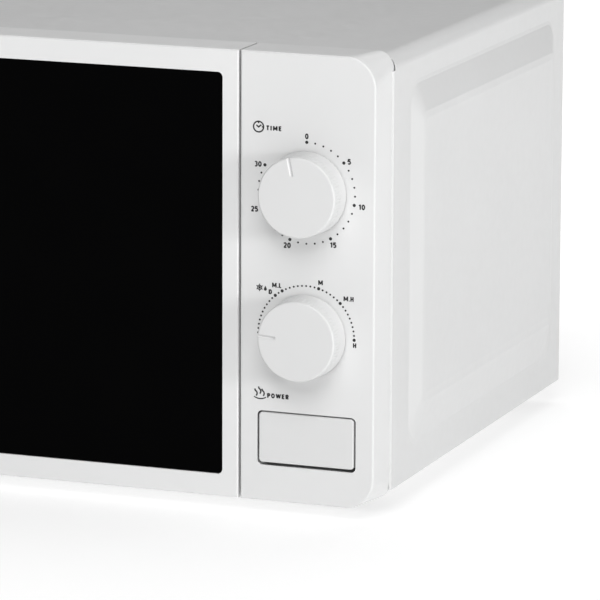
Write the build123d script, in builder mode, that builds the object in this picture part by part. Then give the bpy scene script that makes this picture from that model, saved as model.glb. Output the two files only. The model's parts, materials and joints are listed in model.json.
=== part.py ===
from build123d import *

import os

# Countertop microwave oven with a side-hinged door and two dials, in its separate pieces.
# Millimetres. +X is to the right and -Y towards the user as they face the door, +Z is up.
# The origin is under the middle of the whole oven, on the surface that it stands on.

os.makedirs("parts", exist_ok=True)

# ---- driving dimensions ----

FRONT_W, FRONT_T = 435.0, 29.0  # door and control panel together, and how deep they are
FRONT_Z0, FRONT_Z1 = 8.0, 260.0
R_FRONT, R_BACK = 17.5, 9.5  # the front mouldings' outer corners, at their face and back
BODY_D = 330.0  # the door's face to the back of the cabinet
KNOB_OUT, REAR_OUT = 16.5, 3.0  # what stands out in front and behind
WALL = 2.5  # moulded plastic
SHEET = 0.8  # cavity and base steel
GAP = 1.3  # between door and control panel

DIAL_X, TIME_Z, POWER_Z = 177.6, 183.2, 103.2
TIME_REST, POWER_REST = 12.0, 85.0  # degrees that each pointer stands left of upright

# Door and cabinet
SPLIT_X = DIAL_X - 39.4  # middle of the gap beside the door
DOOR_X = (-FRONT_W / 2, SPLIT_X - GAP / 2)
PANEL_X = (SPLIT_X + GAP / 2, FRONT_W / 2)
WINDOW_X, WINDOW_Z = (-204.2, 128.2), (20.8, 247.2)
CABINET_X, CABINET_Z = 218.5, (13.8, 258.0)
SKIN = 0.6  # cabinet steel
INSIDE_X = CABINET_X - SKIN
LAP_Y, LAP_T, LAP_TOP = 26.5, 0.8, 249.0  # where the sides' rolled edges lap over the front mouldings
BULGE = 4.6  # how far the pressed side panels stand out
BULGE_OUTER = ((53.0, 311.0), (31.5, 239.2))  # depth from the door's face, and height
BULGE_INNER = ((68.0, 296.0), (60.5, 216.8))
BULGE_R = (14.0, 3.0)  # corner radius of the outer and of the inner outline
# Along the ramp between those outlines: share of the way in, and share of the full height
BULGE_RAMP = ((0.0, 0.0), (0.1, 0.05), (0.82, 0.92), (1.0, 1.0))

CABINET_SCREWS = ((-150, 252), (0, 252), (150, 252), (-210, 60), (-210, 200), (210, 60), (210, 200))
CORD_X, CORD_Z = 190.0, 40.0  # where the mains cord comes in
FOOT_AT = ((-185, -112), (185, -112), (-185, 148), (185, 148))

# Depths, from the front face towards the back
Y0 = KNOB_OUT - (KNOB_OUT + BODY_D + REAR_OUT) / 2
FLANGE_Y = (Y0 + FRONT_T, Y0 + FRONT_T + 1)
CABINET_Y = (Y0 + FRONT_T + 0.6, Y0 + BODY_D)
REAR_Y = (CABINET_Y[1] - SKIN - SHEET, CABINET_Y[1] - SKIN)

# Cavity
CAVITY_X, CAVITY_Z = (-193.0, 113.0), (34.0, 236.0)
CAVITY_Y = (FLANGE_Y[1], FLANGE_Y[1] + 285)
WELL_R, WELL_DEPTH = 112.0, 3.0
TABLE_X, TABLE_Y = sum(CAVITY_X) / 2, sum(CAVITY_Y) / 2
WELL_Z = CAVITY_Z[0] - WELL_DEPTH
ROLLER_R, ROLLER_AT = 7.0, 91.0
ROLLER_Z = WELL_Z + 0.3 + ROLLER_R
TRAY_Z = ROLLER_Z + ROLLER_R + 0.3

BASE_Z = (CABINET_Z[0] + SKIN, CABINET_Z[0] + SKIN + SHEET)

# Hinge, latch and release
BUTTON_HOLE = ((149.0, 207.0), (28.3, 59.3))
BUTTON_CAP = ((150.0, 205.8), (30.0, 58.4))
SPRING_X, SPRING_Z = 188.0, 44.0
HINGE_X, HINGE_Y = -210.0, Y0 + 14.5
PIN_R, TONGUE_R = 2.0, 3.5
TONGUE_Z = (246.0, 20.5)  # undersides of the two hinge tongues
TONGUE_T = 1.5
LATCH_X = (127.5, 130.5)
HOOK_Z, HOOK_H = (75.0, 185.0), 10.0  # undersides of the two hook arms, and their height
HOOK_TIP, LEDGE_TOP = Y0 + 51, -0.7  # the ledge's top is measured from the arm's underside
LIFT = 3.9
LEVER_Y, LEVER_Z = Y0 + 36, 62.0
STEM_X = (151.0, 155.0)

# Inside the service bay
MAG_Y, MAG_Z = 62.0, 190.0
GUIDE_X = (CAVITY_X[1] + SHEET, CAVITY_X[1] + SHEET + 24)
FAN_X, FAN_Z, FAN_R = 165.0, 178.0, 50.0
CAP_X, CAP_Y, CAP_Z = 178.0, 60.0, 31.8
LAMP_Y = -60.0

LOW = (Align.CENTER, Align.CENTER, Align.MIN)
RIGHT, BACK, UP = (1, 0, 0), (0, 1, 0), (0, 0, 1)


# ---- shapes used by many pieces ----


def block(x, y, z, mode=Mode.ADD):
    """A box between two corners, in the open part."""
    with Locations(tuple(sum(span) / 2 for span in (x, y, z))):
        Box(x[1] - x[0], y[1] - y[0], z[1] - z[0], mode=mode)


def bar(start, direction, radius, length, mode=Mode.ADD):
    """A round bar from its start point along a direction, in the open part."""
    with Locations(Plane(origin=start, z_dir=direction)):
        Cylinder(radius, length, align=LOW, mode=mode)


def facing(y):
    """The plane at a depth, seen from the front: X to the right and Z up."""
    return Plane.XZ.offset(-y)


def rectangle(x, z, radius=0.0):
    """A rectangle between two corners, its corners rounded if asked, in the open sketch."""
    with Locations(((x[0] + x[1]) / 2, (z[0] + z[1]) / 2)):
        if radius:
            RectangleRounded(x[1] - x[0], z[1] - z[0], radius)
        else:
            Rectangle(x[1] - x[0], z[1] - z[0])


def panel(x, z, y, radius=0.0, mode=Mode.ADD):
    """A flat panel facing the front, with rounded corners, from one depth to another."""
    with BuildSketch(facing(y[0])) as outline:
        rectangle(x, z, radius)
    extrude(outline.sketch, amount=-(y[1] - y[0]), mode=mode)


def ring(outer_x, outer_z, border, y, radius=0.0):
    """A flat frame facing the front, added to the open part."""
    with BuildSketch(facing(y[0])) as outline:
        rectangle(outer_x, outer_z, radius)
        with Locations((sum(outer_x) / 2, sum(outer_z) / 2)):
            size = (outer_x[1] - outer_x[0] - 2 * border, outer_z[1] - outer_z[0] - 2 * border)
            Rectangle(*size, mode=Mode.SUBTRACT)
    extrude(outline.sketch, amount=-(y[1] - y[0]))


def grow(span, by):
    """A span made longer at both ends, or shorter where by is negative."""
    return (span[0] - by, span[1] + by)


def moulding(x, side, inset, y, mode=Mode.ADD):
    """The body of a front moulding, whose outer corners are rounder in front than behind.

    side is 0 where the rounded corners are on the left and -1 where they are on the right.
    """
    z = (FRONT_Z0 + inset, FRONT_Z1 - inset)
    sections = []
    for depth, radius in ((y[0], R_FRONT - inset), (y[1], R_BACK - inset)):
        with BuildSketch(facing(depth)) as outline:
            rectangle(x, z)
            fillet(vertices().group_by(Axis.X)[side], radius)
        sections.append(outline.sketch)
    loft(sections, mode=mode)


def save(part, name):
    part.label = name
    export_step(part, f"parts/{name}.step")


# ---- outside ----

# Wrap: two sides and the top in one bent sheet, with a frame-shaped turn-in at the back.
with BuildPart() as outer_cabinet:
    for inset, mode in ((0, Mode.ADD), (SKIN, Mode.SUBTRACT)):
        with BuildSketch(facing(CABINET_Y[0])):
            rectangle((-CABINET_X + inset, CABINET_X - inset), (CABINET_Z[0] + inset, CABINET_Z[1] - inset))
            fillet(vertices().group_by(Axis.Y)[-1], 8 - inset)
        extrude(amount=CABINET_Y[0] - CABINET_Y[1] + inset, mode=mode)
    block((-204, 204), grow(CABINET_Y, 1), (CABINET_Z[0] - 1, CABINET_Z[0] + 1), Mode.SUBTRACT)
    block((-204, 204), grow(REAR_Y, 5), (CABINET_Z[0] - 1, CABINET_Z[1] - 12), Mode.SUBTRACT)
    for side in (-1, 1):
        for inset, mode in ((0, Mode.ADD), (SKIN, Mode.SUBTRACT)):
            for way, rise in BULGE_RAMP:
                depth, height = (
                    [first + way * (last - first) for first, last in zip(outer, inner)]
                    for outer, inner in zip(BULGE_OUTER, BULGE_INNER)
                )
                middle = (side * (CABINET_X + rise * BULGE - inset), Y0 + sum(depth) / 2, sum(height) / 2)
                with BuildSketch(Plane(origin=middle, x_dir=BACK, z_dir=RIGHT)):
                    corner = BULGE_R[0] + way * (BULGE_R[1] - BULGE_R[0])
                    RectangleRounded(depth[1] - depth[0], height[1] - height[0], corner)
            loft(ruled=True, mode=mode)
        # Rolled front edge, which laps over the side of the door or control panel
        edge = sorted((side * CABINET_X, side * (CABINET_X - LAP_T)))
        roll_y = Y0 + LAP_Y + LAP_T / 2
        block(edge, (roll_y, CABINET_Y[0] + 2), (CABINET_Z[0], LAP_TOP))
        bar((sum(edge) / 2, roll_y, CABINET_Z[0]), UP, LAP_T / 2, LAP_TOP - CABINET_Z[0])
    # Exhaust slots, in the left side's flat
    with Locations(Plane(origin=(-CABINET_X - BULGE, Y0 + 225, 180), x_dir=BACK, z_dir=RIGHT)):
        with GridLocations(8, 30, 10, 2):
            Box(3, 22, 8, mode=Mode.SUBTRACT)
    # Screw holes in the turn-in
    for x, z in CABINET_SCREWS:
        bar((x, REAR_Y[0], z), BACK, 2.0, 6, Mode.SUBTRACT)
save(outer_cabinet.part, "outer_cabinet")

with BuildPart() as cabinet_screws:
    for x, z in CABINET_SCREWS:
        bar((x, CABINET_Y[1] - 9, z), BACK, 1.9, 9)
        bar((x, CABINET_Y[1], z), BACK, 3.6, 2.2)
        for cross in ((5, 1), (1, 5)):
            with Locations((x, CABINET_Y[1] + 2.2, z)):
                Box(cross[0], 2.4, cross[1], mode=Mode.SUBTRACT)
save(cabinet_screws.part, "cabinet_screws")

with BuildPart() as rear_panel:
    panel(grow((-INSIDE_X, INSIDE_X), -0.3), (BASE_Z[0], CABINET_Z[1] - SKIN - 0.2), REAR_Y, 7.5)
    # Fan inlet grille
    with Locations(facing(REAR_Y[0])):
        with Locations((FAN_X, FAN_Z)):
            with GridLocations(17, 7, 5, 11):
                Box(13, 3.2, 4, mode=Mode.SUBTRACT)
        with Locations((-40, 60)):
            with GridLocations(11, 26, 12, 1):
                Box(3.2, 22, 4, mode=Mode.SUBTRACT)
    for x, z in CABINET_SCREWS:
        bar((x, REAR_Y[0] - 1, z), BACK, 1.9, 4, Mode.SUBTRACT)
    bar((CORD_X, REAR_Y[0] - 1, CORD_Z), BACK, 6.5, 4, Mode.SUBTRACT)
save(rear_panel.part, "rear_panel")

with BuildPart() as cord_bushing:
    bar((CORD_X, REAR_Y[0] - 2.5, CORD_Z), BACK, 9, 2.5)
    bar((CORD_X, REAR_Y[0], CORD_Z), BACK, 6.5, SHEET)
    bar((CORD_X, REAR_Y[1], CORD_Z), BACK, 9, SKIN + REAR_OUT)
    fillet(faces().sort_by(Axis.Y)[-1].edges(), 1.2)
    bar((CORD_X, REAR_Y[0] - 4, CORD_Z), BACK, 3.8, 12, Mode.SUBTRACT)
save(cord_bushing.part, "cord_bushing")

with BuildPart() as base_plate:
    half = INSIDE_X - 0.6
    block((-half, half), (FLANGE_Y[1], REAR_Y[0]), BASE_Z)
    for x in ((-half, SHEET - half), (half - SHEET, half)):
        block(x, (FLANGE_Y[1], REAR_Y[0]), (BASE_Z[1], BASE_Z[1] + 10))
    block((-190, half), (FLANGE_Y[1], FLANGE_Y[1] + SHEET), (BASE_Z[1], BASE_Z[1] + 12))
    with Locations(*[(x, y, BASE_Z[0]) for x, y in FOOT_AT]):
        Cylinder(3.2, 4, mode=Mode.SUBTRACT)
    with Locations((TABLE_X, TABLE_Y, BASE_Z[0])):
        with GridLocations(7, 1, 7, 1):
            Box(3, 36, 4, mode=Mode.SUBTRACT)
    with Locations((150, 90, BASE_Z[0])):
        with GridLocations(10, 34, 8, 2):
            Box(3.2, 26, 4, mode=Mode.SUBTRACT)
save(base_plate.part, "base_plate")

with BuildPart() as feet:
    for x, y in FOOT_AT:
        with BuildSketch(Plane(origin=(x, y, 0), x_dir=RIGHT, z_dir=(0, -1, 0))):
            with BuildLine():
                outside = [(0, 0), (9, 0), (10, 1), (11.5, BASE_Z[0])]
                Polyline(*outside, (3.2, BASE_Z[0]), (3.2, 18), (0, 18), (0, 0))
            make_face()
        revolve(axis=Axis((x, y, 0), UP))
save(feet.part, "feet")

# ---- cavity ----

with BuildPart() as cavity_wrap:
    block(grow(CAVITY_X, SHEET), CAVITY_Y, (CAVITY_Z[0], CAVITY_Z[1] + SHEET))
    block(CAVITY_X, grow(CAVITY_Y, 1), (CAVITY_Z[0] - 1, CAVITY_Z[1]), Mode.SUBTRACT)
    # Waveguide feed, lamp window and steam vents
    block(grow((CAVITY_X[1], CAVITY_X[1] + 1), 1), (4, 36), (156, 224), Mode.SUBTRACT)
    with Locations(Plane(origin=(CAVITY_X[1], LAMP_Y, 200), x_dir=BACK, z_dir=RIGHT)):
        with HexLocations(2.6, 5, 4):
            Cylinder(1.5, 4, mode=Mode.SUBTRACT)
    with Locations(Plane(origin=(CAVITY_X[0], 70, 205), x_dir=BACK, z_dir=RIGHT)):
        with GridLocations(6, 6, 14, 5):
            Cylinder(1.6, 4, mode=Mode.SUBTRACT)
save(cavity_wrap.part, "cavity_wrap")

with BuildPart() as cavity_floor:
    block(grow(CAVITY_X, SHEET), CAVITY_Y, (CAVITY_Z[0] - SHEET, CAVITY_Z[0]))
    with Locations((TABLE_X, TABLE_Y, WELL_Z - SHEET)):
        Cylinder(WELL_R + SHEET, WELL_DEPTH + SHEET, align=LOW)
    with Locations((TABLE_X, TABLE_Y, WELL_Z)):
        Cylinder(WELL_R, WELL_DEPTH + 1, align=LOW, mode=Mode.SUBTRACT)
    bar((TABLE_X, TABLE_Y, WELL_Z - 2), UP, 6, 4, Mode.SUBTRACT)
save(cavity_floor.part, "cavity_floor")

with BuildPart() as cavity_back:
    back_y = (CAVITY_Y[1], CAVITY_Y[1] + SHEET)
    panel(grow(CAVITY_X, SHEET), (CAVITY_Z[0] - SHEET, CAVITY_Z[1] + SHEET), back_y)
    panel(grow(CAVITY_X, -30), grow(CAVITY_Z, -30), (back_y[1], back_y[1] + 2.0), 12)
    panel(grow(CAVITY_X, -31), grow(CAVITY_Z, -31), (back_y[0], back_y[1] + 1.2), 11, Mode.SUBTRACT)
save(cavity_back.part, "cavity_back")

HOOK_SLOT = (-5.5, HOOK_H + LIFT + 1.7)  # the hooks' slots, from each arm's underside
with BuildPart() as front_flange:
    panel(grow((-INSIDE_X, INSIDE_X), -0.5), (BASE_Z[0], CABINET_Z[1] - SKIN - 0.2), FLANGE_Y, 7)
    panel(CAVITY_X, CAVITY_Z, FLANGE_Y, 0, Mode.SUBTRACT)
    panel((140, 205), (30, 240), FLANGE_Y, 0, Mode.SUBTRACT)
    for hook in HOOK_Z:
        slot = (hook + HOOK_SLOT[0], hook + HOOK_SLOT[1])
        panel((125, 134), slot, FLANGE_Y, 0, Mode.SUBTRACT)
    for z in TONGUE_Z:
        room = grow((HINGE_X, HINGE_X), TONGUE_R + 0.3)
        panel(room, grow((z, z + TONGUE_T), 0.3), FLANGE_Y, 0, Mode.SUBTRACT)
save(front_flange.part, "front_flange")

GUIDE_Y, GUIDE_Z = (-2.0, 98.0), (150.0, 230.0)
with BuildPart() as waveguide:
    block(GUIDE_X, GUIDE_Y, GUIDE_Z)
    block((GUIDE_X[0], GUIDE_X[0] + 1), grow(GUIDE_Y, 6), grow(GUIDE_Z, 6))
    block((GUIDE_X[0] - 1, GUIDE_X[1] - 1), grow(GUIDE_Y, -1), grow(GUIDE_Z, -1), Mode.SUBTRACT)
    bar((GUIDE_X[1] - 2, MAG_Y, MAG_Z), RIGHT, 15, 4, Mode.SUBTRACT)
save(waveguide.part, "waveguide")

with BuildPart() as waveguide_cover:
    with BuildSketch(Plane.YZ.offset(CAVITY_X[1] - 0.5)):
        with Locations((20, MAG_Z)):
            RectangleRounded(56, 92, 4)
    extrude(amount=0.5)
save(waveguide_cover.part, "waveguide_cover")

# ---- turntable ----

with BuildPart() as turntable_motor:
    bar((TABLE_X, TABLE_Y, WELL_Z - SHEET - 14.6), UP, 24.5, 13.1)
    fillet(faces().sort_by(Axis.Z)[0].edges(), 1.5)
    bar((TABLE_X, TABLE_Y, WELL_Z - SHEET - 1.5), UP, 8, 1.5)
    for side in (-1, 1):
        ear = (TABLE_X + side * 29, TABLE_Y, WELL_Z - SHEET)
        with Locations(ear):
            Box(14, 10, 1.5, align=(Align.CENTER, Align.CENTER, Align.MAX))
    bar((TABLE_X, TABLE_Y, WELL_Z - 12), UP, 3.56, 14, Mode.SUBTRACT)
save(turntable_motor.part, "turntable_motor")

with BuildPart() as turntable_shaft:
    bar((TABLE_X, TABLE_Y, WELL_Z - 11), UP, 3.5, 23)
    block((TABLE_X + 2.5, TABLE_X + 4), (TABLE_Y - 4, TABLE_Y + 4), (WELL_Z + 1, WELL_Z + 13), Mode.SUBTRACT)
save(turntable_shaft.part, "turntable_shaft")

with BuildPart() as turntable_coupler:
    bar((TABLE_X, TABLE_Y, WELL_Z + 0.6), UP, 10, TRAY_Z - WELL_Z - 1.4)
    with Locations((TABLE_X, TABLE_Y, TRAY_Z - 0.8)):
        with PolarLocations(13, 3):
            Box(22, 8, 6, align=(Align.CENTER, Align.CENTER, Align.MAX))
    bar((TABLE_X, TABLE_Y, WELL_Z), UP, 3.5, 12, Mode.SUBTRACT)
    block((TABLE_X + 2.5, TABLE_X + 4), (TABLE_Y - 3.6, TABLE_Y + 3.6), (WELL_Z + 1, WELL_Z + 12))
save(turntable_coupler.part, "turntable_coupler")

with BuildPart() as glass_tray:
    with BuildSketch(Plane(origin=(TABLE_X, TABLE_Y, TRAY_Z), x_dir=RIGHT, z_dir=(0, -1, 0))):
        with BuildLine():
            dish = [(0, 0), (104, 0), (112, 1.5), (126.4, 7.4), (127.5, 10.2), (126, 11.9), (123.5, 11.5)]
            Polyline(*dish, (110, 6.2), (102, 4.8), (0, 4.8), (0, 0))
        make_face()
    revolve(axis=Axis((TABLE_X, TABLE_Y, 0), UP))
    with Locations((TABLE_X, TABLE_Y, TRAY_Z)):
        with PolarLocations(17.5, 3, start_angle=60):
            Cylinder(4, 5, align=(Align.CENTER, Align.CENTER, Align.MAX))
save(glass_tray.part, "glass_tray")

RING_R = (78.0, 84.0)
with BuildPart() as roller_ring:
    with BuildSketch(Plane(origin=(TABLE_X, TABLE_Y, ROLLER_Z), x_dir=RIGHT, z_dir=(0, -1, 0))):
        with Locations((sum(RING_R) / 2, 0)):
            RectangleRounded(RING_R[1] - RING_R[0], 7, 1.5)
    revolve(axis=Axis((TABLE_X, TABLE_Y, 0), UP))
    with Locations((TABLE_X, TABLE_Y, ROLLER_Z)):
        with PolarLocations(RING_R[1] - 1, 3, start_angle=30):
            with Locations(Plane(origin=(0, 0, 0), z_dir=RIGHT)):
                Cylinder(4, 3.2, align=LOW)
                Cylinder(2.0, 13.4, align=LOW)
                with Locations((0, 0, 12.4)):
                    Cylinder(3.0, 1.6, align=LOW)
save(roller_ring.part, "roller_ring")

for number, angle in enumerate((30, 150, 270), 1):
    with BuildPart() as roller:
        with Locations(Plane(origin=(TABLE_X, TABLE_Y, ROLLER_Z))):
            with PolarLocations(ROLLER_AT, 1, start_angle=angle):
                with Locations(Plane(origin=(0, 0, 0), z_dir=RIGHT)):
                    Cylinder(ROLLER_R, 7)
        fillet(edges().filter_by(GeomType.CIRCLE), 1.2)
        with Locations(Plane(origin=(TABLE_X, TABLE_Y, ROLLER_Z))):
            with PolarLocations(ROLLER_AT, 1, start_angle=angle):
                with Locations(Plane(origin=(0, 0, 0), z_dir=RIGHT)):
                    Cylinder(2.06, 9, mode=Mode.SUBTRACT)
    save(roller.part, f"roller_{number}")

# ---- door ----

SWING_R = 13.7  # nothing on the door behind its hinge reaches further than this from the pin
with BuildPart() as door_frame:
    moulding(DOOR_X, 0, 0, (Y0, Y0 + 28.2))
    fillet(faces().sort_by(Axis.Y)[0].edges(), 1.0)
    moulding(grow(DOOR_X, -WALL), 0, WALL, (Y0 + WALL, Y0 + 28.2), Mode.SUBTRACT)
    # Rear lip along the latch side
    block((125.6, DOOR_X[1] - 1), (Y0 + 26.2, Y0 + 28.2), grow((FRONT_Z0, FRONT_Z1), -1))
    panel(WINDOW_X, WINDOW_Z, (Y0 - 1, Y0 + WALL + 1), 3.0, Mode.SUBTRACT)
    for hook in HOOK_Z:
        slot = (hook + HOOK_SLOT[0], hook + HOOK_SLOT[1])
        block(grow(LATCH_X, 1.2), (Y0 + 25, Y0 + 30), slot, Mode.SUBTRACT)
    # Bosses for the hinge pins
    boss_z = ((TONGUE_Z[0] + TONGUE_T + 0.3, FRONT_Z1 - 1), (FRONT_Z0 + 1, TONGUE_Z[1] - 0.3))
    for low, high in boss_z:
        bar((HINGE_X, HINGE_Y, low), UP, 5, high - low)
    bar((HINGE_X, HINGE_Y, TONGUE_Z[0]), UP, PIN_R + 0.06, 9.5, Mode.SUBTRACT)
    bar((HINGE_X, HINGE_Y, TONGUE_Z[1] - 8), UP, PIN_R + 0.06, 9.5, Mode.SUBTRACT)
    # Posts that the choke frame is screwed to
    for x in (-150, -40, 70):
        for low, high in ((FRONT_Z0 + 1, 15.5), (252.5, FRONT_Z1 - 1)):
            block((x - 4, x + 4), (Y0 + 1, Y0 + 13), (low, high))
    # Latch guides
    for z in (88, 112, 142, 172):
        block((LATCH_X[1] + 0.3, DOOR_X[1] - 1), (Y0 + 5, Y0 + 20), (z, z + 2))
    # Room to turn about the pins, and for the tongues
    with BuildSketch(Plane.XY.offset(FRONT_Z0 - 1)):
        with Locations((HINGE_X, HINGE_Y)):
            Rectangle(20, 20, align=(Align.MAX, Align.MIN))
            Circle(SWING_R, mode=Mode.SUBTRACT)
    extrude(amount=FRONT_Z1 - FRONT_Z0 + 2, mode=Mode.SUBTRACT)
    for z in TONGUE_Z:
        notch = grow((z, z + TONGUE_T), 0.6)
        block((DOOR_X[0] - 1, DOOR_X[0] + WALL + 0.5), (Y0 + 8, Y0 + 29), notch, Mode.SUBTRACT)
save(door_frame.part, "door_frame")

with BuildPart() as door_window:
    panel(grow(WINDOW_X, -0.25), grow(WINDOW_Z, -0.25), (Y0 + 0.4, Y0 + WALL), 2.75)
    fillet(faces().sort_by(Axis.Y)[0].edges(), 0.5)
    panel(grow(WINDOW_X, 3.4), grow(WINDOW_Z, 3.4), (Y0 + WALL, Y0 + 4.7), 3)
save(door_window.part, "door_window")

CHOKE_X, CHOKE_Z = (-204.8, 124.8), (22.0, 248.0)
PAN_X, PAN_Z = grow(CHOKE_X, -22), grow(CHOKE_Z, -22)
with BuildPart() as door_choke_frame:
    panel(CHOKE_X, (12.0, 256.0), (Y0 + 13, Y0 + 13.8), 2)
    ring(CHOKE_X, CHOKE_Z, SHEET, (Y0 + 13.8, Y0 + 27))
    ring(CHOKE_X, CHOKE_Z, 7, (Y0 + 26.2, Y0 + 27))
    panel(PAN_X, PAN_Z, (Y0 + 13.8, Y0 + 22), 6)
    panel(grow(PAN_X, -SHEET), grow(PAN_Z, -SHEET), (Y0 + 12, Y0 + 23), 5.2, Mode.SUBTRACT)
save(door_choke_frame.part, "door_choke_frame")

with BuildPart() as door_screen:
    panel(grow(PAN_X, 2), grow(PAN_Z, 2), (Y0 + 22, Y0 + 22.5), 8)
save(door_screen.part, "door_screen")

COVER_X, COVER_Z = (-196.6, 116.6), (30.2, 239.8)
with BuildPart() as choke_cover:
    ring(COVER_X, COVER_Z, 22, (Y0 + 26.4, Y0 + 28.2), 3)
    ring(COVER_X, COVER_Z, 1.6, (Y0 + 23, Y0 + 26.4))
    ring(grow(COVER_X, -20.4), grow(COVER_Z, -20.4), 1.6, (Y0 + 23, Y0 + 26.4))
save(choke_cover.part, "choke_cover")

with BuildPart() as door_inner_film:
    panel(grow(PAN_X, 1), grow(PAN_Z, 1), (Y0 + 22.5, Y0 + 23), 6)
save(door_inner_film.part, "door_inner_film")

with BuildPart() as latch_hooks:
    block(LATCH_X, (Y0 + 10, Y0 + 20), (60, 210))
    for hook in HOOK_Z:
        block(LATCH_X, (Y0 + 18, HOOK_TIP), (hook, hook + HOOK_H))
        # The nose sits beside the arm, so that the release finger can lift the arm itself
        with BuildSketch(Plane.YZ.offset(LATCH_X[0] - 2.2)):
            with BuildLine():
                nose = [(HOOK_TIP, hook + 8), (HOOK_TIP, hook - 0.5), (HOOK_TIP - 1.5, hook - 3.7)]
                Polyline(*nose, (HOOK_TIP - 5, hook - 3.7), (HOOK_TIP - 5, hook + 8), close=True)
            make_face()
        extrude(amount=2.2)
save(latch_hooks.part, "latch_hooks")


def coil(start, direction, radius, wire, turns, length):
    """A helical spring: one wire swept along its helix."""
    frame = Plane(origin=start, z_dir=direction)
    path = frame.location * Helix(length / turns, length, radius)
    with BuildSketch(Plane(origin=path @ 0, z_dir=path % 0)) as section:
        Circle(wire / 2)
    sweep(section.sketch, path=path)


with BuildPart() as latch_spring:
    coil((LATCH_X[0] + 1.5, Y0 + 15, 210.4), UP, 2.6, 0.6, 9, 26)
save(latch_spring.part, "latch_spring")

with BuildPart() as hinge_plates:
    for z, leg in ((TONGUE_Z[0], -1), (TONGUE_Z[1], 1)):
        block(grow((HINGE_X, HINGE_X), TONGUE_R), (HINGE_Y, FLANGE_Y[1] + TONGUE_T), (z, z + TONGUE_T))
        bar((HINGE_X, HINGE_Y, z), UP, TONGUE_R, TONGUE_T)
        legs = (z - 24, z) if leg < 0 else (z + TONGUE_T, z + TONGUE_T + 24)
        block((HINGE_X - TONGUE_R, HINGE_X + 12), (FLANGE_Y[1], FLANGE_Y[1] + TONGUE_T), legs)
        bar((HINGE_X, HINGE_Y, z - 1), UP, PIN_R, TONGUE_T + 2, Mode.SUBTRACT)
save(hinge_plates.part, "hinge_plates")

with BuildPart() as hinge_pins:
    bar((HINGE_X, HINGE_Y, TONGUE_Z[0]), UP, PIN_R, 9)
    bar((HINGE_X, HINGE_Y, TONGUE_Z[0] - 2), UP, 3.1, 2)
    bar((HINGE_X, HINGE_Y, TONGUE_Z[1] + TONGUE_T - 9), UP, PIN_R, 9)
    bar((HINGE_X, HINGE_Y, TONGUE_Z[1] + TONGUE_T), UP, 3.1, 2)
save(hinge_pins.part, "hinge_pins")

# ---- control panel ----

with BuildPart() as control_panel:
    moulding(PANEL_X, -1, 0, (Y0, Y0 + FRONT_T))
    fillet(faces().sort_by(Axis.Y)[0].edges(), 1.0)
    fillet(faces().sort_by(Axis.Y)[-1].edges(), 0.7)
    moulding(grow(PANEL_X, -WALL), -1, WALL, (Y0 + WALL, Y0 + FRONT_T), Mode.SUBTRACT)
    # Sleeve behind the button, wider than its opening, with a bridge for its spring to push on
    sleeve = (grow(BUTTON_HOLE[0], 2.6), grow(BUTTON_HOLE[1], 2.6))
    inside = (grow(BUTTON_HOLE[0], 1.2), grow(BUTTON_HOLE[1], 1.2))
    panel(*sleeve, (Y0 + 1.5, Y0 + 16), 5.4)
    block(grow((SPRING_X, SPRING_X), 5), (Y0 + 16, Y0 + 23), sleeve[1])
    panel(*inside, (Y0 + 1.2, Y0 + 21), 4.0, Mode.SUBTRACT)
    panel(*BUTTON_HOLE, (Y0 - 1, Y0 + 2), 2.8, Mode.SUBTRACT)
    for z in (TIME_Z, POWER_Z):
        bar((DIAL_X, Y0 - 1, z), BACK, 4.5, 6, Mode.SUBTRACT)
        for x, height in ((DIAL_X - 23, z + 23), (DIAL_X + 23, z - 23)):
            bar((x, Y0 + 1.5, height), BACK, 3.2, 9)
save(control_panel.part, "control_panel")

with BuildPart() as release_button:
    panel(*BUTTON_CAP, (Y0 - 0.3, Y0 + 13), 2.0)
    fillet(faces().sort_by(Axis.Y)[0].edges(), 0.8)
    panel(grow(BUTTON_CAP[0], -2), grow(BUTTON_CAP[1], -2), (Y0 + 2.0, Y0 + 14), 1.0, Mode.SUBTRACT)
    block(STEM_X, (Y0 + 1, LEVER_Y - 2.3), (LEVER_Z - 19, LEVER_Z - 16))
    bar((SPRING_X, Y0 + 1, SPRING_Z), BACK, 2.4, 6)
save(release_button.part, "release_button")

with BuildPart() as button_spring:
    coil((SPRING_X, Y0 + 2.4, SPRING_Z), BACK, 3.4, 0.7, 6, 18.2)
save(button_spring.part, "button_spring")

with BuildPart() as release_lever:
    bar((LATCH_X[0] - 8.2, LEVER_Y, LEVER_Z), RIGHT, 2.5, STEM_X[1] - LATCH_X[0] + 9.2)
    block(STEM_X, (LEVER_Y - 2, LEVER_Y + 2), (LEVER_Z - 20.5, LEVER_Z))
    # Finger that lifts the lower hook
    with BuildSketch(Plane.YZ.offset(LATCH_X[0] + 0.5)):
        with BuildLine():
            finger = [(LEVER_Y - 1, LEVER_Z - 2.2), (LEVER_Y + 10, LEVER_Z - 2.2)]
            finger += [(LEVER_Y + 14.5, LEVER_Z + 5)]
            top = [(LEVER_Y + 14.5, HOOK_Z[0] - 0.3), (LEVER_Y + 12, HOOK_Z[0] - 0.3)]
            Polyline(*finger, *top, (LEVER_Y + 9, LEVER_Z + 4), (LEVER_Y, LEVER_Z + 2.4), close=True)
        make_face()
    extrude(amount=LATCH_X[1] - LATCH_X[0] - 0.5)
save(release_lever.part, "release_lever")

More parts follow.
